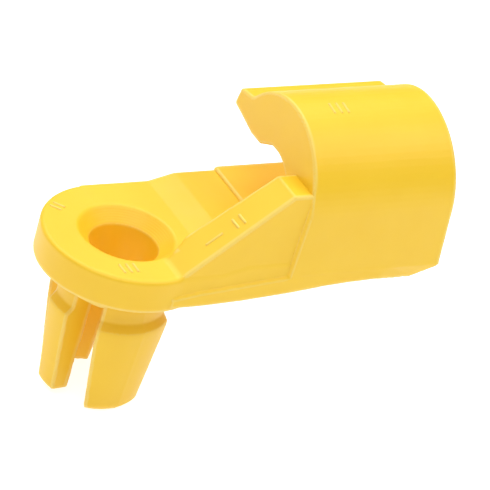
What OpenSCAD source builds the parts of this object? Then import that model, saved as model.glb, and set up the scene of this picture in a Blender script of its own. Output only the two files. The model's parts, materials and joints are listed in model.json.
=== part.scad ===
// Rod retaining clip: one flexible plastic moulding, laid out as its working regions.
// Origin: centre of the rod hole, on the face that rests on the lever.
// +X runs along the held rod, +Y is the open side of the saddle, +Z points away from the lever.

/* [Rod] */
// Diameter of the rod that the clip holds
rod_d = 6; // [5.9:0.05:6.1]
// Free play between the rod and its hole, on the radius
hole_play = 0.05; // [0.03:0.01:0.2]
// Free play between the rod and the saddle channel, on the radius
channel_play = 0.35; // [0.25:0.05:0.4]
// How much narrower the saddle mouth is than the rod
mouth_grip = 0.3; // [0.2:0.05:0.5]

/* [Eye] */
// Outer radius of the round eye plate
eye_r = 7.5; // [7.4:0.1:7.9]
// Thickness of the eye plate
plate_t = 3.1; // [3:0.1:3.4]
// Depth of the countersink round the rod hole
sink_depth = 1.2; // [0.8:0.1:1.4]

/* [Arm] */
// Height of the arm underside above the lever face, at the eye
arm_lift = 0.27; // [0.1:0.01:0.4]
// Height of the arm deck where it meets the saddle
deck_z = 3.77; // [3.7:0.01:3.85]
// Inset of the upper side wall from the lower skirt
ledge_w = 0.3; // [0.1:0.05:0.4]
// Width of the ramp rib, from the outer wall inwards
rib_w = 3.4; // [2.5:0.1:3.6]
// Height of the flat top of the ramp rib
rib_top_z = 10.7; // [9.5:0.1:11]
// Slope of the ramp rib in degrees
rib_slope = 39.8; // [38:0.1:43]

/* [Saddle] */
// Distance from the rod hole to the near end face, at the height of the back arc centre
saddle_x = 12.4; // [12.2:0.1:13]
// Length of the saddle along the rod, at the same height
saddle_len = 14.6; // [12:0.1:18]
// Lean of each end face in degrees
end_draft = 3.2; // [0:0.1:4]
// Radius of the rounded back
back_r = 7.1; // [7:0.05:7.3]
// Height of the centre of the rounded back
back_z = 8.45; // [8.3:0.05:8.7]
// Height of the saddle floor
floor_z = 4.05; // [4:0.01:4.15]

/* [Snap legs] */
// Outer radius of the legs where they pass through the lever
neck_r = 4.9; // [4.8:0.05:5]
// Outer radius of the barbs
barb_r = 5.4; // [5.2:0.05:5.5]
// Distance from the hole's axis to the flat inner face of each leg
leg_inner = 3.2; // [3.1:0.05:3.3]
// Length of the unslotted ring that the legs hang from
collar_len = 1.25; // [1:0.05:1.5]
// Distance from the lever face to the barbs, which matches the thickness of the lever
neck_len = 3.05; // [2:0.05:3.5]
// Distance from the lever face to the tips of the wide legs
leg_len = 12.5; // [11.5:0.1:13]
// Distance from the lever face to the tips of the narrow legs
narrow_len = 11.9; // [11:0.1:12.5]
// Outer radius of the wide legs just above their tips
tip_r = 4.3; // [4.1:0.05:4.5]
// Half the width of each diagonal slot beside the wide legs
slot_half = 0.7; // [0.65:0.05:0.9]
// Width of the two narrow legs
narrow_w = 2.9; // [2.4:0.1:3]
// Turn of the four legs about the hole's axis, in degrees
leg_turn = 5; // [0:1:8]

/* [Hidden] */
plastic = [0.98, 0.80, 0.27];
$fn = 96;
far = 40;                                // longer than anything that it cuts
cut = 1;                                 // overshoot of a cutter past a face

// Eye: a hub over the legs, and a flange that rests on the lever
hole_r = rod_d / 2 + hole_play;
sink_r = hole_r + sink_depth;
hub_r = 5.1;

// Saddle channel and mouth
channel_r = rod_d / 2 + channel_play;
channel_z = floor_z + channel_r;
tooth_z = floor_z + rod_d - mouth_grip;
tooth_y = sqrt(pow(channel_r, 2) - pow(tooth_z - channel_z, 2));
back_y = -0.44;                          // centre of the rounded back
wall_y = back_y - back_r;                // outer face of the back wall
fillet_y = -0.8;                         // where the back wall's inner curve meets the floor
lip_flat = 1.67;                         // flat under the tooth
nose_y = 7.64;                           // furthest point of the lead-in nose
nose_low = [7.58, 10.55];
nose_top = [7.38, 12.25];
nose_start = [5.2, 12.6];                // the nose leaves the rounded back here

// Saddle ends
lean = tan(end_draft);
far_x = saddle_x + saddle_len;
saddle_top = back_z + back_r + cut;

// Underside of arm and saddle, side view
low_start_x = 4.5;
arch_x = 20.5;
arch_z = 1.7;
toe_x = 25;                              // start of the bevel at the far end
toe_z = 1.5;
toe_rise = 1.17;

// Deck and ledge, side view
arm_x = 1.5;                             // the arm starts here, beside the eye
ledge_z0 = 1.35;
ledge_z1 = 2.8;
deck_bend0 = 5.8;
deck_bend1 = 8.24;
rib_x = 1.7;
rib_gap = 0.05;                          // keeps the rib clear of the flexing jaw

// Legs
barb_rise = 0.7;                         // height of the sloped shoulder
barb_land = 0.5;                         // height of the widest band
tip_round = 0.45;
slot_gap = slot_half * sqrt(2);           // the diagonal slots, measured along X or Y

// Half-plane prism that lies outside the saddle, on its near side
module near_side(gap) {
    translate([0, far / 2, 0])
        rotate([90, 0, 0])
            linear_extrude(far)
                polygon([
                    [-far, -far],
                    [saddle_x - gap - lean * (far + back_z), -far],
                    [saddle_x - gap + lean * (far - back_z), far],
                    [-far, far]
                ]);
}

// Block between the two leaning end faces, from z0 to z1
module saddle_span(z0, z1) {
    translate([0, far / 2, 0])
        rotate([90, 0, 0])
            linear_extrude(far)
                polygon([
                    [saddle_x + lean * (z0 - back_z), z0],
                    [far_x - lean * (z0 - back_z), z0],
                    [far_x - lean * (z1 - back_z), z1],
                    [saddle_x + lean * (z1 - back_z), z1]
                ]);
}

// A profile drawn in Y and Z, run along the saddle
module along_saddle() {
    rotate([90, 0, 90])
        linear_extrude(far)
            children();
}

// A profile drawn in X and Z, run across the arm from y0 to y1
module across(y0, y1) {
    translate([0, y1, 0])
        rotate([90, 0, 0])
            linear_extrude(y1 - y0)
                children();
}

module eye_hub() {
    color(plastic)
        difference() {
            cylinder(r = hub_r, h = plate_t);
            translate([0, 0, -cut])
                cylinder(r = hole_r, h = plate_t + 2 * cut);
            translate([0, 0, plate_t - sink_depth])
                cylinder(r1 = hole_r, r2 = sink_r, h = sink_depth);
        }
}

module eye_flange() {
    color(plastic)
        difference() {
            cylinder(r = eye_r, h = plate_t);
            translate([0, 0, -cut])
                cylinder(r = hub_r, h = plate_t + 2 * cut);
        }
}

module arm_skirt() {
    color(plastic)
        intersection() {
            near_side(0);
            difference() {
                across(-eye_r, eye_r)
                    polygon([
                        [arm_x, arm_lift],
                        [low_start_x, arm_lift],
                        [arch_x, arch_z],
                        [arch_x, ledge_z1],
                        [saddle_x, ledge_z1],
                        [arm_x, ledge_z0]
                    ]);
                translate([0, 0, -cut])
                    cylinder(r = eye_r, h = plate_t + 2 * cut);
            }
        }
}

module arm_deck() {
    color(plastic)
        intersection() {
            near_side(0);
            difference() {
                across(-eye_r + ledge_w, eye_r)
                    polygon([
                        [arm_x, ledge_z0],
                        [saddle_x, ledge_z1],
                        [saddle_x, deck_z],
                        [deck_bend1, deck_z],
                        [deck_bend0, plate_t],
                        [arm_x, plate_t]
                    ]);
                translate([0, 0, -cut])
                    cylinder(r = eye_r, h = plate_t + 2 * cut);
            }
        }
}

module ramp_rib() {
    crest_x = rib_x + (rib_top_z - plate_t) / tan(rib_slope);
    color(plastic)
        intersection() {
            near_side(rib_gap);
            across(-eye_r + ledge_w, -eye_r + ledge_w + rib_w)
                polygon([
                    [rib_x, plate_t],
                    [crest_x, rib_top_z],
                    [saddle_x + cut, rib_top_z],
                    [saddle_x + cut, deck_z],
                    [deck_bend1, deck_z],
                    [deck_bend0, plate_t]
                ]);
        }
}

module saddle_floor() {
    color(plastic)
        intersection() {
            saddle_span(-cut, floor_z);
            across(wall_y, eye_r)
                polygon([
                    [low_start_x, arm_lift],
                    [arch_x, arch_z],
                    [toe_x, toe_z],
                    [far_x + cut, toe_z + toe_rise * (far_x + cut - toe_x) / (far_x - toe_x)],
                    [far_x + cut, floor_z],
                    [low_start_x, floor_z]
                ]);
        }
}

module saddle_back() {
    color(plastic)
        intersection() {
            saddle_span(floor_z, channel_z);
            along_saddle()
                difference() {
                    translate([wall_y, floor_z])
                        square([fillet_y - wall_y, channel_z - floor_z]);
                    translate([0, channel_z])
                        circle(r = channel_r);
                }
        }
}

module upper_jaw() {
    color(plastic)
        intersection() {
            saddle_span(channel_z, saddle_top);
            along_saddle()
                difference() {
                    union() {
                        translate([back_y, back_z])
                            circle(r = back_r);
                        translate([wall_y, channel_z])
                            square([back_r, back_z - channel_z]);
                    }
                    translate([0, channel_z])
                        circle(r = channel_r);
                    square([far, channel_z + cut]);
                    translate([tooth_y, 0])
                        square([far, saddle_top + cut]);
                }
        }
}

module snap_lip() {
    color(plastic)
        intersection() {
            saddle_span(channel_z, saddle_top);
            along_saddle()
                union() {
                    intersection() {
                        translate([back_y, back_z])
                            circle(r = back_r);
                        polygon([
                            [tooth_y, tooth_z],
                            [tooth_y + lip_flat, tooth_z],
                            nose_low,
                            [nose_y, nose_top[1]],
                            [tooth_y, saddle_top]
                        ]);
                    }
                    polygon([
                        [tooth_y, tooth_z],
                        [tooth_y + lip_flat, tooth_z],
                        nose_low,
                        [nose_y, nose_low[1] + nose_y - nose_low[0]],
                        nose_top,
                        nose_start
                    ]);
                }
        }
}

module neck_ring() {
    color(plastic)
        translate([0, 0, -collar_len])
            difference() {
                cylinder(r = neck_r, h = collar_len);
                translate([0, 0, -cut])
                    cylinder(r = hole_r, h = collar_len + 2 * cut);
            }
}

// Outline of revolution of the legs between two heights, before it is divided
module leg_round(z_low, z_high) {
    widest_z = -neck_len - barb_rise;
    intersection() {
        rotate_extrude()
            polygon([
                [0, 0],
                [neck_r, 0],
                [neck_r, -neck_len],
                [barb_r, widest_z],
                [barb_r, widest_z - barb_land],
                [tip_r, -leg_len + tip_round],
                [tip_r - tip_round, -leg_len],
                [0, -leg_len]
            ]);
        translate([-far / 2, -far / 2, z_low])
            cube([far, far, z_high - z_low]);
    }
}

// Wide leg on the -Y side, bounded by two diagonal slots
module wide_leg(z_low, z_high) {
    intersection() {
        leg_round(z_low, z_high);
        translate([0, 0, -far / 2])
            linear_extrude(far)
                polygon([
                    [slot_gap - leg_inner, -leg_inner],
                    [leg_inner - slot_gap, -leg_inner],
                    [far - slot_gap, -far],
                    [slot_gap - far, -far]
                ]);
    }
}

// Narrow leg on the -X side, with parallel sides
module narrow_leg(z_low, z_high) {
    intersection() {
        leg_round(z_low, z_high);
        translate([-far, -narrow_w / 2, -far / 2])
            cube([far - leg_inner, narrow_w, far]);
    }
}

// Leg material turned about the axis, from its place on the -Y or -X side
module turned_leg(turn) {
    color(plastic)
        rotate([0, 0, turn + leg_turn])
            children();
}

module front_leg() { turned_leg(0) wide_leg(-neck_len, -collar_len); }
module front_barb() { turned_leg(0) wide_leg(-leg_len, -neck_len); }
module back_leg() { turned_leg(180) wide_leg(-neck_len, -collar_len); }
module back_barb() { turned_leg(180) wide_leg(-leg_len, -neck_len); }
module left_leg() { turned_leg(0) narrow_leg(-neck_len, -collar_len); }
module left_barb() { turned_leg(0) narrow_leg(-narrow_len, -neck_len); }
module right_leg() { turned_leg(180) narrow_leg(-neck_len, -collar_len); }
module right_barb() { turned_leg(180) narrow_leg(-narrow_len, -neck_len); }

eye_hub();
eye_flange();
arm_skirt();
arm_deck();
ramp_rib();
saddle_floor();
saddle_back();
upper_jaw();
snap_lip();
neck_ring();
front_leg();
front_barb();
back_leg();
back_barb();
left_leg();
left_barb();
right_leg();
right_barb();
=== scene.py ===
import json
import math

import bpy
import numpy as np
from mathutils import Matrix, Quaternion, Vector


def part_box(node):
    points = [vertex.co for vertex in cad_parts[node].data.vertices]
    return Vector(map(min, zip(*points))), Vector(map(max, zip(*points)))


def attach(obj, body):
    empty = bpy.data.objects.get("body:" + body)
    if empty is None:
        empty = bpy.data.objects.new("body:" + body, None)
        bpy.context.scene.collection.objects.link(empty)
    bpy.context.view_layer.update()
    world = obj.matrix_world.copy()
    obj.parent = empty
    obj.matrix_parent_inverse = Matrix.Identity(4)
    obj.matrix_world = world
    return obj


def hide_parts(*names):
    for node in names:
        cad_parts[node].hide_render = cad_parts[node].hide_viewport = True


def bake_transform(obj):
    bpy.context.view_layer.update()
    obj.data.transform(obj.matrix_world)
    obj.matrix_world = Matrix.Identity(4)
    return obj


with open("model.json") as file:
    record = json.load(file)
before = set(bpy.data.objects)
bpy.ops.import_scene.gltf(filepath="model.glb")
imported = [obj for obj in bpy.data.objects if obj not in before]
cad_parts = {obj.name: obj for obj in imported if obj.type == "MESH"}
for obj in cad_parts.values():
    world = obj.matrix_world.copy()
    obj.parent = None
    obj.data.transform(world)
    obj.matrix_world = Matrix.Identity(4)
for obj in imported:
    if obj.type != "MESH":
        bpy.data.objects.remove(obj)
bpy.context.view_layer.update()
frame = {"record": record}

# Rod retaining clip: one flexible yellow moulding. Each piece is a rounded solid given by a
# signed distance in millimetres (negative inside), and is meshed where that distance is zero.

MM = 0.001


# ---------------------------------------------------------------- sizes, from the frame

def low(node):
    return [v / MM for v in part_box(node)[0]]


def high(node):
    return [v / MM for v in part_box(node)[1]]


MOUNTS = {m["name"]: m for m in frame["record"]["mounts"]}

HOLE_R = MOUNTS["rod_hole"]["dims"]["r_mm"]
CHANNEL_R = MOUNTS["rod_channel"]["dims"]["r_mm"]
CHANNEL_Z = MOUNTS["rod_channel"]["pos_m"][2] / MM
EYE_R = high("eye_flange")[0]
PLATE_T = high("eye_hub")[2]
SINK_DEPTH = PLATE_T - low("neck_ring")[2] - MOUNTS["rod_hole"]["dims"]["length_mm"]
SINK_R = HOLE_R + SINK_DEPTH

WALL_Y = low("saddle_back")[1]
OPEN_Y = high("saddle_floor")[1]
UPPER_WALL_Y = low("arm_deck")[1]
DECK_Z = high("arm_deck")[2]
FLOOR_Z = high("saddle_floor")[2]
ARM_LIFT = low("arm_skirt")[2]
LEDGE_Z = high("arm_skirt")[2]

BACK_R = 7.1
BACK_Y = WALL_Y + BACK_R
BACK_Z = high("upper_jaw")[2] - BACK_R
LEAN = 0.056                                   # lean of the saddle's end faces
NEAR_X = low("upper_jaw")[0] + LEAN * (BACK_Z - CHANNEL_Z)
FAR_X = high("upper_jaw")[0] - LEAN * (BACK_Z - CHANNEL_Z) + 0.1
NOSE_Y = high("snap_lip")[1]
TOOTH_Z = low("snap_lip")[2]

RIB_X = low("ramp_rib")[0]
RIB_TOP = high("ramp_rib")[2]
RIB_IN = high("ramp_rib")[1]
RIB_SLOPE = math.radians(39.8)
RIB_DRAFT = 0.077

JOINTS = {j["name"]: j for j in frame["record"]["behaviour"]["joints"]}
HINGE = [v / MM for v in JOINTS["front_leg_flex"]["pos_m"]]
LEG_IN = math.hypot(HINGE[0], HINGE[1]) - 0.05
LEG_TURN = math.atan2(HINGE[0], -HINGE[1])
COLLAR_Z = HINGE[2]
NECK_R = high("neck_ring")[0]
BARB_R = -low("front_barb")[1]
NECK_Z = low("front_leg")[2]
TIP_Z = low("front_barb")[2]
NARROW_TIP_Z = low("left_barb")[2]
NARROW_HALF = 1.45                             # half the width of a narrow leg at its shoulder
NARROW_DRAFT = 0.03                            # the narrow legs' sides come together downwards
RING_Z = COLLAR_Z - 0.6                        # the web that joins the legs reaches this low
SLOT_HALF = 0.28                               # half the width of a slot, down to SLOT_Z
SLOT_Z = -5.5
SLOT_DRAFT = 0.07                              # how fast the slots open out below SLOT_Z

EDGE = 0.22                                    # rounding of ordinary outer edges
CREASE = 0.12                                  # rounding of crisp edges and inner corners
CELL = 0.15                                    # size of the mesh's quads
EDGE_DEPTH = 0.3                               # where the solid is probed for thin edges
SEAM_RISE = 0.03                               # height of the fine lines left by the mould
OVERSHOOT = 0.4                                # of a cutter past the face that it cuts


# ---------------------------------------------------------------- shape tools

def both(a, b, r):
    """Intersection of two solids, with the edge between them rounded to radius r."""
    rounded = np.hypot(np.maximum(a + r, 0), np.maximum(b + r, 0))
    return np.minimum(-r, np.maximum(a, b)) + rounded


def either(a, b, r):
    """Union of two solids, with the corner between them filled to radius r."""
    return -both(-a, -b, r)


def without(a, b, r):
    """Solid a with b cut away, with the new edge rounded to radius r."""
    return both(a, -b, r)


def seam(distance, width):
    """Height of a fine raised line, given the distance from its middle."""
    return SEAM_RISE * np.exp(-(distance / width) ** 2)


def outline(points, u, w):
    """Signed distance from (u, w) to a closed outline of straight steps."""
    u, w = np.broadcast_arrays(u, w)
    nearest = np.full(u.shape, np.inf)
    inside = np.zeros(u.shape, bool)
    for (u0, w0), (u1, w1) in zip(points, points[1:] + points[:1]):
        eu, ew = u1 - u0, w1 - w0
        pu, pw = u - u0, w - w0
        along = np.clip((pu * eu + pw * ew) / (eu * eu + ew * ew), 0, 1)
        nearest = np.minimum(nearest, (pu - along * eu) ** 2 + (pw - along * ew) ** 2)
        spans = (w0 > w) != (w1 > w)
        left = pu * abs(ew) < eu * pw * math.copysign(1, ew)
        inside ^= spans & left
    return np.where(inside, -1, 1) * np.sqrt(nearest)


def arc(centre, r, start, end, steps):
    """Points on an arc, from start to end in degrees."""
    turns = [math.radians(start + (end - start) * i / steps) for i in range(steps + 1)]
    return [(centre[0] + r * math.cos(t), centre[1] + r * math.sin(t)) for t in turns]


def eased(corner, before, after, r, steps=6):
    """The arc of radius r that replaces a corner between two neighbouring points."""
    p = Vector(corner)
    a = (Vector(before) - p).normalized()
    b = (Vector(after) - p).normalized()
    half = a.angle(b) / 2
    centre = p + (a + b).normalized() * (r / math.sin(half))
    start = p + a * (r / math.tan(half)) - centre
    end = p + b * (r / math.tan(half)) - centre
    turn = start.angle_signed(end)
    points = []
    for i in range(steps + 1):
        t = -turn * i / steps
        c, s = math.cos(t), math.sin(t)
        points.append(tuple(centre + Vector((c * start.x - s * start.y, s * start.x + c * start.y))))
    return points


def ease_corners(points, radii):
    """An outline with some of its corners rounded: radii maps a point's index to a radius."""
    out = []
    for i, p in enumerate(points):
        if i in radii:
            out += eased(p, points[i - 1], points[(i + 1) % len(points)], radii[i])
        else:
            out.append(p)
    return out


# ---------------------------------------------------------------- meshing

UNIT = np.eye(3, dtype=int)


def grid_surface(shape, box_low, box_high, cell):
    """Vertices and quads round the zero level of shape, one vertex in each cell it crosses."""
    steps = [np.arange(a - 2 * cell, b + 3 * cell, cell) for a, b in zip(box_low, box_high)]
    sizes = [len(s) for s in steps]
    x, y, z = np.meshgrid(*steps, indexing="ij", sparse=True)
    field = np.broadcast_to(shape(x, y, z), sizes)
    solid = field < 0
    corners = [(i, j, k) for i in (0, 1) for j in (0, 1) for k in (0, 1)]
    filled = sum(
        solid[i:sizes[0] - 1 + i, j:sizes[1] - 1 + j, k:sizes[2] - 1 + k].astype(int)
        for i, j, k in corners
    )
    crossed = (filled > 0) & (filled < 8)
    cells = np.argwhere(crossed)
    number = np.full(crossed.shape, -1)
    number[crossed] = np.arange(len(cells))

    total = np.zeros((len(cells), 3))
    hits = np.zeros(len(cells))
    quads = []
    for axis in range(3):
        u, v = UNIT[(axis + 1) % 3], UNIT[(axis + 2) % 3]
        for shift in (0 * u, u, v, u + v):
            start = cells + shift
            f0 = field[tuple(start.T)]
            f1 = field[tuple((start + UNIT[axis]).T)]
            hit = (f0 < 0) != (f1 < 0)
            part = f0[hit] / (f0[hit] - f1[hit])
            total[hit] += start[hit] + part[:, None] * UNIT[axis]
            hits[hit] += 1
        ahead = np.roll(solid, -1, axis)
        edge = np.argwhere(solid != ahead)
        edge = edge[edge[:, axis] < sizes[axis] - 1]
        ring = [edge, edge - u, edge - u - v, edge - v]
        quad = np.stack([number[tuple(c.T)] for c in ring], 1)
        inward = ~solid[tuple(edge.T)]
        quad[inward] = quad[inward][:, ::-1]
        quads.append(quad)
    points = np.array([s[0] for s in steps]) + cell * total / hits[:, None]
    return points, np.concatenate(quads)


def pull_to_surface(shape, points):
    """Moves points onto the zero level, and returns them with the surface normals there."""
    tiny = 1e-3
    here = shape(*points.T)
    slope = np.stack([shape(*(points + tiny * UNIT[k]).T) - here for k in range(3)], 1) / tiny
    length = np.maximum(np.linalg.norm(slope, axis=1), 0.3)[:, None]
    return points - slope * here[:, None] / length ** 2, slope / length


def even_out(shape, points, quads, rounds):
    """Spreads the points evenly along the surface, without leaving it."""
    pairs = np.concatenate([quads[:, [i, (i + 1) % 4]] for i in range(4)])
    pairs = np.concatenate([pairs, pairs[:, ::-1]])
    degree = np.bincount(pairs[:, 0])[:, None]
    points, normal = pull_to_surface(shape, points)
    for _ in range(rounds):
        sums = [np.bincount(pairs[:, 0], points[pairs[:, 1], k]) for k in range(3)]
        step = np.stack(sums, 1) / degree - points
        step -= normal * (step * normal).sum(1)[:, None]
        points, normal = pull_to_surface(shape, points + 0.6 * step)
    return pull_to_surface(shape, points)[0]


def thin_edges(shape, points):
    """How sharp the solid's convex edges are at the points: 0 on a flat face, up to 1."""
    points, normal = pull_to_surface(shape, points)
    inside = shape(*(points - EDGE_DEPTH * normal).T)
    return np.clip(4 * (1 + inside / EDGE_DEPTH), 0, 1)


def solid_piece(name, shape, box_low, box_high, material, cell=CELL):
    """A smooth closed mesh of shape, as a new object in metres."""
    points, quads = grid_surface(shape, box_low, box_high, cell)
    points = even_out(shape, points, quads, 3)
    mesh = bpy.data.meshes.new(name)
    mesh.from_pydata((points * MM).tolist(), [], quads.tolist())
    # edge sharpness, kept as the mask for the painted highlight on convex edges
    thin = mesh.attributes.new("thin_edge", "FLOAT", "POINT")
    thin.data.foreach_set("value", thin_edges(shape, points))
    mesh.shade_smooth()
    mesh.materials.append(material)
    piece = bpy.data.objects.new(name, mesh)
    bpy.context.scene.collection.objects.link(piece)
    return piece


# ---------------------------------------------------------------- arm and saddle

def saddle_profile():
    """The saddle across the rod, in Y and Z: rounded back, nose, tooth, channel and floor."""
    back = arc((BACK_Y, BACK_Z), BACK_R, 180, 42, 28)
    nose = [(5.35, 12.58), (7.38, 12.25), (NOSE_Y, 10.85), (7.58, 10.55)]
    lip = [(6.36, 10.3), (4.98, TOOTH_Z + 0.21), (4.07, TOOTH_Z), (2.4, TOOTH_Z)]
    ceiling = [(0.62, CHANNEL_Z + 3.3), (0, CHANNEL_Z + CHANNEL_R)]
    radii = {1: 1.0, 2: 0.2, 3: 0.3, 4: 0.25, 5: 0.5, 6: 0.8, 7: 0.6, 8: 0.15, 9: 0.6}
    mouth = ease_corners([back[-1]] + nose + lip + ceiling, radii)
    channel = arc((0, CHANNEL_Z), CHANNEL_R, 95, 270, 28)
    foot = [(OPEN_Y, FLOOR_Z), (OPEN_Y, -3), (WALL_Y, -3)]
    return back + mouth[1:-1] + channel + foot


PROFILE = saddle_profile()

# Underside of the arm and saddle, in X and Z: a shallow arch that ends in a bevel.
UNDERSIDE = [(0.9, ARM_LIFT), (4.1, ARM_LIFT), (8, 0.45), (11.8, 0.77), (15.7, 1.24),
             (18.2, 1.45), (21.1, 1.6), (25.1, 1.3), (27.6, 2.66)]
DEEP, TALL = -2, 20                            # heights below and above the whole clip
SADDLE_SIDE = [
    (NEAR_X + LEAN * (DEEP - BACK_Z), DEEP),
    (FAR_X - LEAN * (DEEP - BACK_Z), DEEP),
    (FAR_X - LEAN * (TALL - BACK_Z), TALL),
    (NEAR_X + LEAN * (TALL - BACK_Z), TALL),
]
BAND_SIDE = [(0.95, -1), (16, -1), (16, LEDGE_Z), (NEAR_X, LEDGE_Z), (7.5, 2.24), (3.7, 1.85),
             (0.95, 1.38)]
BELOW = [(-5, -5), (-5, ARM_LIFT)] + UNDERSIDE + [(40, 8.6), (40, -5)]

BEVELLED_X = 14                                # the saddle's edge is bevelled on its near half
BAND_START_R = EYE_R - 1.2                     # the arm's band starts inside the eye
SEAM_Z = 2.78

# Two flat facets, low on the far end of the outer wall
WALL_BEND = Vector((22.4, WALL_Y, 2.84))
WALL_END = Vector((27.3, WALL_Y, 2.66))
WALL_FOOT = Vector((21.1, WALL_Y, 1.7))
FACET_FOOT = Vector((25, WALL_Y + 0.44, 1.45))


def plane(p, a, b, c):
    """Signed distance to the plane through three points, positive on its -Y side."""
    normal = (b - a).cross(c - a).normalized()
    if normal.y > 0:
        normal.negate()
    return sum(n * (v - q) for n, v, q in zip(normal, p, a))


def bevel(inside, y):
    """Cuts the edge of the outer wall back, as deep as the wall stands out from the upper one."""
    return (WALL_Y - y + inside + UPPER_WALL_Y - WALL_Y) * math.sqrt(0.5)


def arm_and_saddle(x, y, z):
    in_ends = outline(SADDLE_SIDE, x, z)
    saddle = both(outline(PROFILE, y, z), in_ends, 0.16)
    saddle = np.maximum(saddle, np.where(x < BEVELLED_X, bevel(in_ends, y), -1))
    sides = np.maximum(WALL_Y - y, y - OPEN_Y)
    in_band = outline(BAND_SIDE, x, z)
    band = np.maximum(both(in_band, sides, 0.03), bevel(in_band, y))
    band = np.maximum(band, BAND_START_R - np.hypot(x, y))
    solid = either(saddle, band, 0.03)
    solid = without(solid, outline(BELOW, x, z), EDGE)
    facet = np.minimum(plane((x, y, z), WALL_BEND, WALL_END, FACET_FOOT),
                       plane((x, y, z), WALL_BEND, WALL_FOOT, FACET_FOOT))
    return both(solid, facet, 0.05) - seam(z - SEAM_Z, 0.1) * (x > NEAR_X + 1)


# ---------------------------------------------------------------- eye, deck and rib

END_X = NEAR_X + 0.6                           # the deck and rib end here, inside the saddle
RIM_ROUND = 0.35                               # rounding of the eye's upper rim
DECK_SIDE = ease_corners([(-1, PLATE_T), (5.7, PLATE_T), (8.15, DECK_Z), (END_X, DECK_Z),
                          (END_X, 2.3), (7.5, 1.8), (3.7, 1.4), (0.95, 1.0), (-1, 1)],
                         {1: 1, 2: 1.5})
CREST_X = RIB_X + (RIB_TOP - PLATE_T) / math.tan(RIB_SLOPE)
RIB_SIDE = [(RIB_X - 2.4, PLATE_T - 2), (CREST_X, RIB_TOP), (END_X, RIB_TOP),
            (END_X, PLATE_T - 2)]
SINK_MARGIN = 0.28                             # between the countersink and the foot of the rib
SINK_MARGIN_DRAFT = 0.25
COLLAR_TOP = 0.5                               # inside the eye


def eye_and_rib(x, y, z):
    across = np.hypot(x, y)
    disc = both(across - EYE_R, z - PLATE_T, RIM_ROUND)
    disc = both(disc, -z, CREASE)
    deck_walls = np.maximum(UPPER_WALL_Y - y, y - (OPEN_Y - 0.02))
    deck = both(outline(DECK_SIDE, x, z), deck_walls, EDGE)
    inner = y - RIB_IN - RIB_DRAFT * (RIB_TOP - z)
    rib = both(both(outline(RIB_SIDE, x, z), inner, 0.15), UPPER_WALL_Y - y, CREASE)
    sink = (across - HOLE_R - (z - PLATE_T + SINK_DEPTH)) * math.sqrt(0.5)
    margin = across - SINK_R - SINK_MARGIN - SINK_MARGIN_DRAFT * (z - PLATE_T)
    rib = without(rib, np.maximum(margin, PLATE_T - z), 0.2)
    collar = both(across - NECK_R + 0.03, RING_Z - z, 0.05)
    disc = either(disc, np.maximum(collar, z - COLLAR_TOP), 0.05)
    solid = either(either(disc, deck, 0.02), rib, 0.25)
    hole = either(across - HOLE_R, np.maximum(sink, z - PLATE_T - OVERSHOOT), 0.02)
    hole = np.maximum(hole, z - PLATE_T - OVERSHOOT)
    return without(solid, hole, CREASE)


# ---------------------------------------------------------------- snap legs

SHOULDER_Z = NECK_Z - 0.7
PARTING_X = 0.3                               # line left where the halves of the mould met
LEG_SIDE = ease_corners([
    (-8, 0.3), (NECK_R, 0.3), (NECK_R, NECK_Z), (BARB_R, SHOULDER_Z), (BARB_R, SHOULDER_Z - 0.5),
    (4.6, TIP_Z + 0.5), (4.2, TIP_Z), (-8, TIP_Z)], {2: 0.12, 3: 0.12, 4: 0.3, 5: 0.3, 6: 0.2})


def leg(across, along, z, walls):
    """One snap leg, on the side where across is negative, cut from a turned shape by its walls."""
    radius = np.hypot(across, along)
    outside = np.maximum(walls, across)
    return both(both(outline(LEG_SIDE, radius, z), outside, 0.1), LEG_IN - radius, 0.08)


def turned(shape, degrees):
    """The same shape, turned about the axis of the hole."""
    turn = math.radians(degrees) + LEG_TURN
    c, s = math.cos(turn), math.sin(turn)
    return lambda x, y, z: shape(c * x + s * y, c * y - s * x, z)


def wide_leg(x, y, z):
    walls = (np.abs(x) + y) * math.sqrt(0.5) + SLOT_HALF + SLOT_DRAFT * np.maximum(SLOT_Z - z, 0)
    return leg(y, x, z, walls) - seam(x - PARTING_X, 0.15)


def narrow_leg(x, y, z):
    walls = np.abs(y) - NARROW_HALF - NARROW_DRAFT * (z - SHOULDER_Z)
    return both(leg(x, y, z, walls), NARROW_TIP_Z - z, 0.15)


# ---------------------------------------------------------------- small raised marks

MARK_R = 0.13                                  # radius of the bars that stand in for marks
MARK_CELL = 0.06                               # size of their meshes' quads


def bar(p, start, end, r):
    """A rounded bar between two points."""
    a = [v - s for v, s in zip(p, start)]
    d = [e - s for e, s in zip(end, start)]
    along = sum(i * j for i, j in zip(a, d)) / sum(j * j for j in d)
    along = np.clip(along, 0, 1)
    return np.sqrt(sum((i - along * j) ** 2 for i, j in zip(a, d))) - r


def bars(p, ends):
    """Several rounded bars."""
    return np.minimum.reduce([bar(p, start, end, MARK_R) for start, end in ends])


def eye_marks(x, y, z):
    top = PLATE_T - 0.03
    ends = [((-2.9 + 0.65 * i, -5.6, top), (-2.9 + 0.65 * i, -4.5, top)) for i in range(3)]
    ends += [((-4.5 + 0.5 * i, 4.0 + 0.35 * i, top), (-5.1 + 0.5 * i, 4.7 + 0.35 * i, top))
             for i in range(2)]
    return bars((x, y, z), ends)


def on_ramp(x, y):
    return (x, y, PLATE_T + (x - RIB_X) * math.tan(RIB_SLOPE) - 0.02)


def rib_marks(x, y, z):
    ends = [(on_ramp(4.4, -5.6), on_ramp(5.6, -5.6))]
    ends += [(on_ramp(6.7 + 0.55 * i, -6.1), on_ramp(6.7 + 0.55 * i, -5.0)) for i in range(2)]
    return bars((x, y, z), ends)


def on_back(x, degrees):
    turn, r = math.radians(degrees), BACK_R - 0.03
    return (x, BACK_Y + r * math.cos(turn), BACK_Z + r * math.sin(turn))


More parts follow.
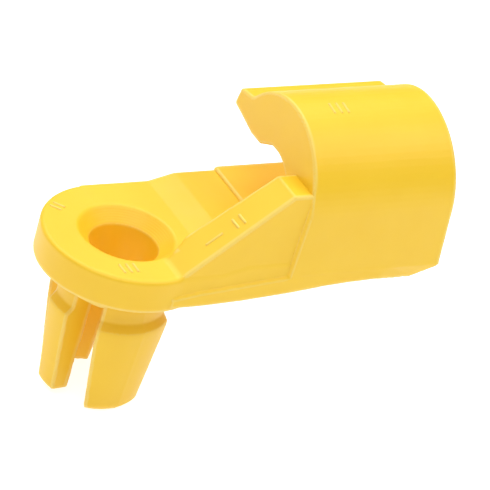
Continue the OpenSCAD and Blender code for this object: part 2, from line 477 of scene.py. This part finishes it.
def jaw_mark(x, y, z):
    ends = [(on_back(16.2 + 0.7 * i, 92), on_back(16.2 + 0.7 * i, 101)) for i in range(3)]
    return bars((x, y, z), ends)


# ---------------------------------------------------------------- material

YELLOWS = ((0.97, 0.60, 0.014, 1), (0.99, 0.63, 0.022, 1))
# painted highlight: the pale yellow that convex edges are mixed towards, and how far the sharpest go
EDGE_HIGHLIGHT_YELLOW = (1.0, 0.80, 0.30, 1)
EDGE_HIGHLIGHT_SHARE = 0.4                               # how far the sharpest edges go towards it
RING_PITCH = 0.16                              # of the turned rings on the countersink


def moulded_plastic():
    """Satin yellow plastic that light sinks into, with a fine grain and a painted highlight on its
    convex edges.
    """
    material = bpy.data.materials.new("yellow_plastic_moulded")
    material.use_nodes = True
    nodes, links = material.node_tree.nodes, material.node_tree.links
    shader = nodes["Principled BSDF"]

    def node(kind, **values):
        made = nodes.new(kind)
        for key, value in values.items():
            if key in made.inputs:
                made.inputs[key].default_value = value
            else:
                setattr(made, key, value)
        return made

    place = node("ShaderNodeTexCoord")

    def noise(scale, detail):
        made = node("ShaderNodeTexNoise", Scale=scale, Detail=detail)
        links.new(place.outputs["Object"], made.inputs["Vector"])
        return made.outputs["Fac"]

    def math_node(operation, a, b=0.0):
        made = node("ShaderNodeMath", operation=operation)
        for socket, value in zip(made.inputs, (a, b)):
            if isinstance(value, (int, float)):
                socket.default_value = value
            else:
                links.new(value, socket)
        return made.outputs[0]

    # slow colour drift, from the flow of the melt
    drift = node("ShaderNodeValToRGB")
    for stop, colour, position in zip(drift.color_ramp.elements, YELLOWS, (0.3, 0.7)):
        stop.color = colour
        stop.position = position
    links.new(noise(180, 3), drift.inputs["Fac"])

    # painted highlight: convex edges are mixed towards a pale yellow, in place of the light that
    # thin edges let through
    thin = node("ShaderNodeAttribute", attribute_name="thin_edge")
    edge = math_node("MULTIPLY", thin.outputs["Fac"], EDGE_HIGHLIGHT_SHARE)
    pale = node("ShaderNodeMix", data_type="RGBA")
    links.new(edge, pale.inputs[0])
    links.new(drift.outputs["Color"], pale.inputs[6])
    pale.inputs[7].default_value = EDGE_HIGHLIGHT_YELLOW
    links.new(pale.outputs[2], shader.inputs["Base Color"])

    # grain of the mould's surface, soft waves, and turned rings on the countersink only
    grain = math_node("MULTIPLY", noise(5200, 2), 0.6)
    waves = noise(900, 2)
    split = node("ShaderNodeSeparateXYZ")
    links.new(place.outputs["Object"], split.inputs["Vector"])
    x, y, z = split.outputs
    squares = math_node("ADD", math_node("POWER", x, 2), math_node("POWER", y, 2))
    radius = math_node("SQRT", squares)
    in_sink = math_node("MULTIPLY",
                        math_node("LESS_THAN", radius, (SINK_R - 0.05) * MM),
                        math_node("GREATER_THAN", z, (PLATE_T - SINK_DEPTH) * MM))
    rings = math_node("SINE", math_node("MULTIPLY", radius, 2 * math.pi / (RING_PITCH * MM)))
    rings = math_node("MULTIPLY", math_node("MULTIPLY", rings, in_sink), 0.5)
    height = math_node("ADD", math_node("ADD", grain, waves), rings)
    bump = node("ShaderNodeBump", Strength=0.25, Distance=0.00003)
    links.new(height, bump.inputs["Height"])
    links.new(bump.outputs["Normal"], shader.inputs["Normal"])

    rough = math_node("ADD", math_node("MULTIPLY", noise(700, 2), 0.12), 0.42)
    links.new(rough, shader.inputs["Roughness"])
    shader.inputs["IOR"].default_value = 1.54
    shader.inputs["Subsurface Weight"].default_value = 0.08
    shader.inputs["Subsurface Radius"].default_value = (1.0, 0.8, 0.15)
    shader.inputs["Subsurface Scale"].default_value = 1.2 * MM
    return material


# ---------------------------------------------------------------- build

plastic = moulded_plastic()

saddle = solid_piece("arm_and_saddle", arm_and_saddle, (0.9, WALL_Y, 0),
                     (FAR_X + 0.5, NOSE_Y, 15.6), plastic)
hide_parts("arm_skirt", "saddle_floor", "saddle_back", "upper_jaw", "snap_lip")
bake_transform(saddle)

eye = solid_piece("eye_and_rib", eye_and_rib, (-EYE_R, -EYE_R, RING_Z),
                  (END_X, EYE_R, RIB_TOP), plastic)
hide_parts("eye_hub", "eye_flange", "neck_ring", "arm_deck", "ramp_rib")
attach(eye, "root")

REACH = BARB_R + 0.2
for side, shape, turn in (("front", wide_leg, 0), ("back", wide_leg, 180),
                          ("left", narrow_leg, 0), ("right", narrow_leg, 180)):
    piece = solid_piece(side + "_snap_leg", turned(shape, turn), (-REACH, -REACH, TIP_Z),
                        (REACH, REACH, 0.3), plastic)
    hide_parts(side + "_leg", side + "_barb")
    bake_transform(piece)

marks = solid_piece("eye_marks", eye_marks, (-5.5, -6, 2.8), (-1, 5.5, 3.3), plastic, MARK_CELL)
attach(marks, "root")
marks = solid_piece("rib_marks", rib_marks, (4, -6.5, 5), (8, -4.5, 8.5), plastic, MARK_CELL)
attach(marks, "root")
marks = solid_piece("jaw_mark", jaw_mark, (15.5, -3, 14.5), (18.5, 1, 16), plastic, MARK_CELL)
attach(marks, "upper_jaw")


# ---------------------------------------------------------------- floor, light and camera

# How bright each is as light on the object, as a mirrored image, and to the camera
FLOOR_GLOW, FLOOR_MIRRORED, FLOOR_SEEN = 0.5, 1.1, 0.8
ROOM_GLOW, ROOM_MIRRORED, ROOM_SEEN = 0.17, 0.03, 1.0
FLOOR_GREY = (0.6, 0.6, 0.6, 1)
FLOOR_GAP = 0.05                               # below the leg tips

BOX_DISTANCE, BOX_SIZE = 0.5, 0.4
SOFTBOXES = [                                  # azimuth, elevation and power of each
    ("key", -36, 62, 0.8),
    ("right", 60, 54, 1.0),
    ("back", 165, 56, 1.2),
    ("back_left", 211, 40, 0.5),
    ("left", -80, 50, 0.4),
]


def glow_by_ray(nodes, links, strength, diffuse, mirrored, seen):
    """Sets one strength for diffuse light, one for mirrored light and one for the camera."""
    path = nodes.new("ShaderNodeLightPath")
    value = diffuse
    for kind, level in (("Is Glossy Ray", mirrored), ("Is Camera Ray", seen)):
        pick = nodes.new("ShaderNodeMapRange")
        pick.inputs["To Max"].default_value = level
        links.new(path.outputs[kind], pick.inputs["Value"])
        if isinstance(value, float):
            pick.inputs["To Min"].default_value = value
        else:
            links.new(value, pick.inputs["To Min"])
        value = pick.outputs[0]
    links.new(value, strength)


def floor():
    half, z = 2.5, (TIP_Z - FLOOR_GAP) * MM
    mesh = bpy.data.meshes.new("floor")
    mesh.from_pydata([(-half, -half, z), (half, -half, z), (half, half, z), (-half, half, z)], [],
                     [(0, 1, 2, 3)])
    material = bpy.data.materials.new("pale_floor")
    material.use_nodes = True
    nodes, links = material.node_tree.nodes, material.node_tree.links
    nodes.clear()
    paint = nodes.new("ShaderNodeBsdfDiffuse")
    paint.inputs["Color"].default_value = FLOOR_GREY
    glow = nodes.new("ShaderNodeEmission")
    glow_by_ray(nodes, links, glow.inputs["Strength"], FLOOR_GLOW, FLOOR_MIRRORED, FLOOR_SEEN)
    lit = nodes.new("ShaderNodeAddShader")
    see_through = nodes.new("ShaderNodeBsdfTransparent")
    pick = nodes.new("ShaderNodeMixShader")
    facing = nodes.new("ShaderNodeNewGeometry")
    out = nodes.new("ShaderNodeOutputMaterial")
    links.new(paint.outputs[0], lit.inputs[0])
    links.new(glow.outputs[0], lit.inputs[1])
    links.new(facing.outputs["Backfacing"], pick.inputs[0])
    links.new(lit.outputs[0], pick.inputs[1])
    links.new(see_through.outputs[0], pick.inputs[2])
    links.new(pick.outputs[0], out.inputs["Surface"])
    mesh.materials.append(material)
    sheet = bpy.data.objects.new("floor", mesh)
    bpy.context.scene.collection.objects.link(sheet)


CENTRE = Vector((11.51, -1.06, 1.60)) * MM      # where the camera and the lights point


def direction(azimuth, elevation):
    """Unit vector from the object towards a place round it; azimuth 0 is on the -Y side."""
    a, e = math.radians(azimuth), math.radians(elevation)
    return Vector((math.sin(a) * math.cos(e), -math.cos(a) * math.cos(e), math.sin(e)))


def softbox(name, azimuth, elevation, power):
    light = bpy.data.lights.new(name, "AREA")
    light.shape = "DISK"
    light.size = BOX_SIZE
    light.energy = power
    box = bpy.data.objects.new(name, light)
    towards = direction(azimuth, elevation)
    box.location = CENTRE + towards * BOX_DISTANCE
    box.rotation_euler = towards.to_track_quat("Z", "Y").to_euler()
    bpy.context.scene.collection.objects.link(box)


def studio():
    world = bpy.data.worlds.new("white_studio")
    world.use_nodes = True
    nodes, links = world.node_tree.nodes, world.node_tree.links
    background = nodes["Background"]
    background.inputs["Color"].default_value = (1, 1, 1, 1)
    glow_by_ray(nodes, links, background.inputs["Strength"], ROOM_GLOW, ROOM_MIRRORED, ROOM_SEEN)
    bpy.context.scene.world = world
    bpy.context.scene.view_settings.view_transform = "Standard"
    for values in SOFTBOXES:
        softbox(*values)


def camera():
    azimuth, elevation, roll = -35.97, 31.13, 16.11
    distance = 362.58 * MM
    data = bpy.data.cameras.new("camera")
    data.lens = 308.57
    data.sensor_width = 36
    data.clip_start, data.clip_end = 0.01, 10
    view = bpy.data.objects.new("camera", data)
    towards = direction(azimuth, elevation)
    view.location = CENTRE + towards * distance
    view.rotation_mode = "QUATERNION"
    level = towards.to_track_quat("Z", "Y")
    view.rotation_quaternion = level @ Quaternion((0, 0, 1), math.radians(roll))
    bpy.context.scene.collection.objects.link(view)
    bpy.context.scene.camera = view


floor()
studio()
camera()
